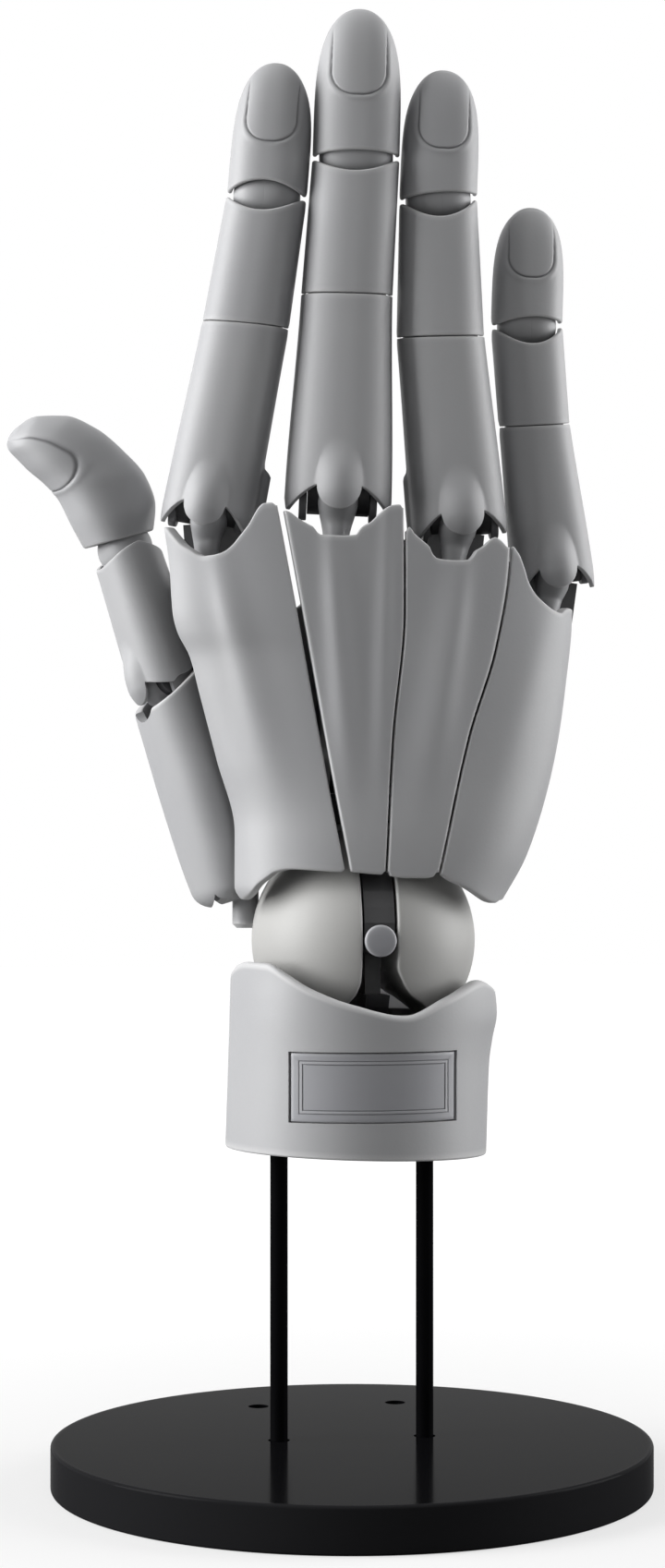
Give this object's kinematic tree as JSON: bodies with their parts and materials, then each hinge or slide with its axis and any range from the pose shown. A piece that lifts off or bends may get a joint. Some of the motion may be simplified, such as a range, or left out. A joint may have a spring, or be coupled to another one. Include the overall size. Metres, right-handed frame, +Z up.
{
  "type": "artist hand model",
  "caption": "Jointed right hand of hollow grey plastic shells, held upright by a cuff on a black round base with slim posts.",
  "frame": {"origin": "centre of the underside of the round base", "axes": "+Z up along the fingers, -Y towards the back of the hand and the cuff's plaque, -X towards the thumb"},
  "size_m": [0.0918, 0.0856, 0.2087],
  "materials": {
    "grey": "fine matte moulded grey",
    "pale_grey": "fine matte moulded light grey",
    "dark_grey": "matte near-black moulding",
    "black_gloss": "polished black"
  },
  "bodies": {
    "stand": {"base_disc": "black_gloss", "post_left": "black_gloss", "post_right": "black_gloss"},
    "cuff": {"cuff_shell": "grey", "plaque": "grey", "socket_block": "dark_grey"},
    "wrist_core": {"wrist_core": "dark_grey"},
    "palm": {"ball_left": "pale_grey", "ball_right": "pale_grey", "palm_frame": "dark_grey", "wrist_pin": "grey", "palm_heel": "grey", "index_metacarpal": "dark_grey", "index_back_shell": "grey", "index_palm_shell": "grey", "middle_metacarpal": "dark_grey", "middle_back_shell": "grey", "middle_palm_shell": "grey", "middle_knuckle_link": "grey"},
    "ring_metacarpal": {"ring_metacarpal": "dark_grey", "ring_back_shell": "grey", "ring_palm_shell": "grey", "ring_knuckle_link": "grey"},
    "little_metacarpal": {"little_metacarpal": "dark_grey", "little_back_shell": "grey", "little_palm_shell": "grey"},
    "index_knuckle_link": {"index_knuckle_link": "grey"},
    "index_proximal": {"index_proximal": "grey", "index_knuckle_frame": "dark_grey", "index_pip_link": "pale_grey"},
    "index_middle": {"index_middle": "grey", "index_dip_link": "pale_grey"},
    "index_tip": {"index_tip": "grey"},
    "middle_proximal": {"middle_proximal": "grey", "middle_knuckle_frame": "dark_grey", "middle_pip_link": "pale_grey"},
    "middle_middle": {"middle_middle": "grey", "middle_dip_link": "pale_grey"},
    "middle_tip": {"middle_tip": "grey"},
    "ring_proximal": {"ring_proximal": "grey", "ring_knuckle_frame": "dark_grey", "ring_pip_link": "pale_grey"},
    "ring_middle": {"ring_middle": "grey", "ring_dip_link": "pale_grey"},
    "ring_tip": {"ring_tip": "grey"},
    "little_knuckle_link": {"little_knuckle_link": "grey"},
    "little_proximal": {"little_proximal": "grey", "little_knuckle_frame": "dark_grey", "little_pip_link": "pale_grey"},
    "little_middle": {"little_middle": "grey", "little_dip_link": "pale_grey"},
    "little_tip": {"little_tip": "grey"},
    "thumb_root_link": {"thumb_root_link": "grey"},
    "thumb_metacarpal": {"thumb_metacarpal": "grey", "thumb_knuckle_link": "grey"},
    "thumb_proximal": {"thumb_proximal": "grey", "thumb_knuckle_frame": "dark_grey", "thumb_end_link": "pale_grey"},
    "thumb_tip": {"thumb_tip": "grey"}
  },
  "joints": [
    {"name": "stand_lift", "type": "slide", "parent": "stand", "child": "cuff", "axis": [0, 0, 1], "range_m": [0, 0.0125]},
    {"name": "wrist_flex", "type": "hinge", "parent": "cuff", "child": "wrist_core", "pos_m": [0.0016, 0, 0.0775], "axis": [-1, 0, 0], "range_deg": [-38, 38]},
    {"name": "wrist_tilt", "type": "hinge", "parent": "wrist_core", "child": "palm", "pos_m": [0.0016, 0, 0.0775], "axis": [0, 1, 0], "range_deg": [-12, 18]},
    {"name": "ring_palm_fold", "type": "hinge", "parent": "palm", "child": "ring_metacarpal", "pos_m": [0.0083, 0, 0.1015], "axis": [-1, 0, 0], "range_deg": [0, 4]},
    {"name": "little_palm_fold", "type": "hinge", "parent": "palm", "child": "little_metacarpal", "pos_m": [0.02, 0, 0.1015], "axis": [-0.9703, 0, 0.2419], "range_deg": [0, 8]},
    {"name": "index_spread", "type": "hinge", "parent": "palm", "child": "index_knuckle_link", "pos_m": [-0.01956, -0.0015, 0.12703], "axis": [-0.2074, -0.9781, -0.0145], "range_deg": [0, 7]},
    {"name": "index_knuckle", "type": "hinge", "parent": "index_knuckle_link", "child": "index_proximal", "pos_m": [-0.0204, -0.0015, 0.139], "axis": [-0.9594, 0.2079, 0.1904], "range_deg": [-10, 80]},
    {"name": "index_middle_joint", "type": "hinge", "parent": "index_proximal", "child": "index_middle", "pos_m": [-0.0154, -0.0015, 0.1642], "axis": [-0.9728, 0.2079, 0.1022], "range_deg": [0, 88]},
    {"name": "index_end_joint", "type": "hinge", "parent": "index_middle", "child": "index_tip", "pos_m": [-0.0124, -0.0015, 0.1824], "axis": [-0.9758, 0.2079, 0.0682], "range_deg": [0, 65]},
    {"name": "middle_knuckle", "type": "hinge", "parent": "palm", "child": "middle_proximal", "pos_m": [-0.0024, -0.003, 0.1414], "axis": [-0.9916, 0.1219, 0.0438], "range_deg": [-10, 80]},
    {"name": "middle_middle_joint", "type": "hinge", "parent": "middle_proximal", "child": "middle_middle", "pos_m": [-0.0012, -0.003, 0.1686], "axis": [-0.9924, 0.1219, 0.0173], "range_deg": [0, 88]},
    {"name": "middle_end_joint", "type": "hinge", "parent": "middle_middle", "child": "middle_tip", "pos_m": [0.0001, -0.003, 0.1879], "axis": [-0.9925, 0.1219, 0], "range_deg": [0, 65]},
    {"name": "ring_knuckle", "type": "hinge", "parent": "ring_metacarpal", "child": "ring_proximal", "pos_m": [0.0148, -0.0025, 0.1384], "axis": [-0.9925, 0.0698, -0.1001], "range_deg": [-10, 80]},
    {"name": "ring_middle_joint", "type": "hinge", "parent": "ring_proximal", "child": "ring_middle", "pos_m": [0.0123, -0.0025, 0.1632], "axis": [-0.997, 0.0698, -0.0348], "range_deg": [0, 88]},
    {"name": "ring_end_joint", "type": "hinge", "parent": "ring_middle", "child": "ring_tip", "pos_m": [0.012, -0.0025, 0.1827], "axis": [-0.9951, 0.0698, -0.0696], "range_deg": [0, 65]},
    {"name": "little_spread", "type": "hinge", "parent": "little_metacarpal", "child": "little_knuckle_link", "pos_m": [0.02743, 0, 0.11872], "axis": [0.0346, 0.9994, -0.0049], "range_deg": [0, 10]},
    {"name": "little_knuckle", "type": "hinge", "parent": "little_knuckle_link", "child": "little_proximal", "pos_m": [0.0291, 0, 0.1306], "axis": [-0.9917, 0.0349, -0.1234], "range_deg": [-10, 80]},
    {"name": "little_middle_joint", "type": "hinge", "parent": "little_proximal", "child": "little_middle", "pos_m": [0.0265, 0, 0.1515], "axis": [-0.997, 0.0349, -0.0697], "range_deg": [0, 88]},
    {"name": "little_end_joint", "type": "hinge", "parent": "little_middle", "child": "little_tip", "pos_m": [0.0254, 0, 0.1657], "axis": [-0.9984, 0.0349, -0.0453], "range_deg": [0, 65]},
    {"name": "thumb_swing", "type": "hinge", "parent": "palm", "child": "thumb_root_link", "pos_m": [-0.0145, 0.007, 0.086], "axis": [0, 0, -1], "range_deg": [0, 40]},
    {"name": "thumb_lift", "type": "hinge", "parent": "thumb_root_link", "child": "thumb_metacarpal", "pos_m": [-0.0172, 0.005, 0.086], "axis": [0.3272, -0.9397, 0.0996], "range_deg": [0, 25]},
    {"name": "thumb_knuckle", "type": "hinge", "parent": "thumb_metacarpal", "child": "thumb_proximal", "pos_m": [-0.02595, 0.005, 0.11475], "axis": [-0.325, 0.9397, -0.1066], "range_deg": [-10, 5]},
    {"name": "thumb_end_joint", "type": "hinge", "parent": "thumb_proximal", "child": "thumb_tip", "pos_m": [-0.032, 0.005, 0.1332], "axis": [-0.3193, 0.9397, -0.1226], "range_deg": [-15, 36]}
  ]
}
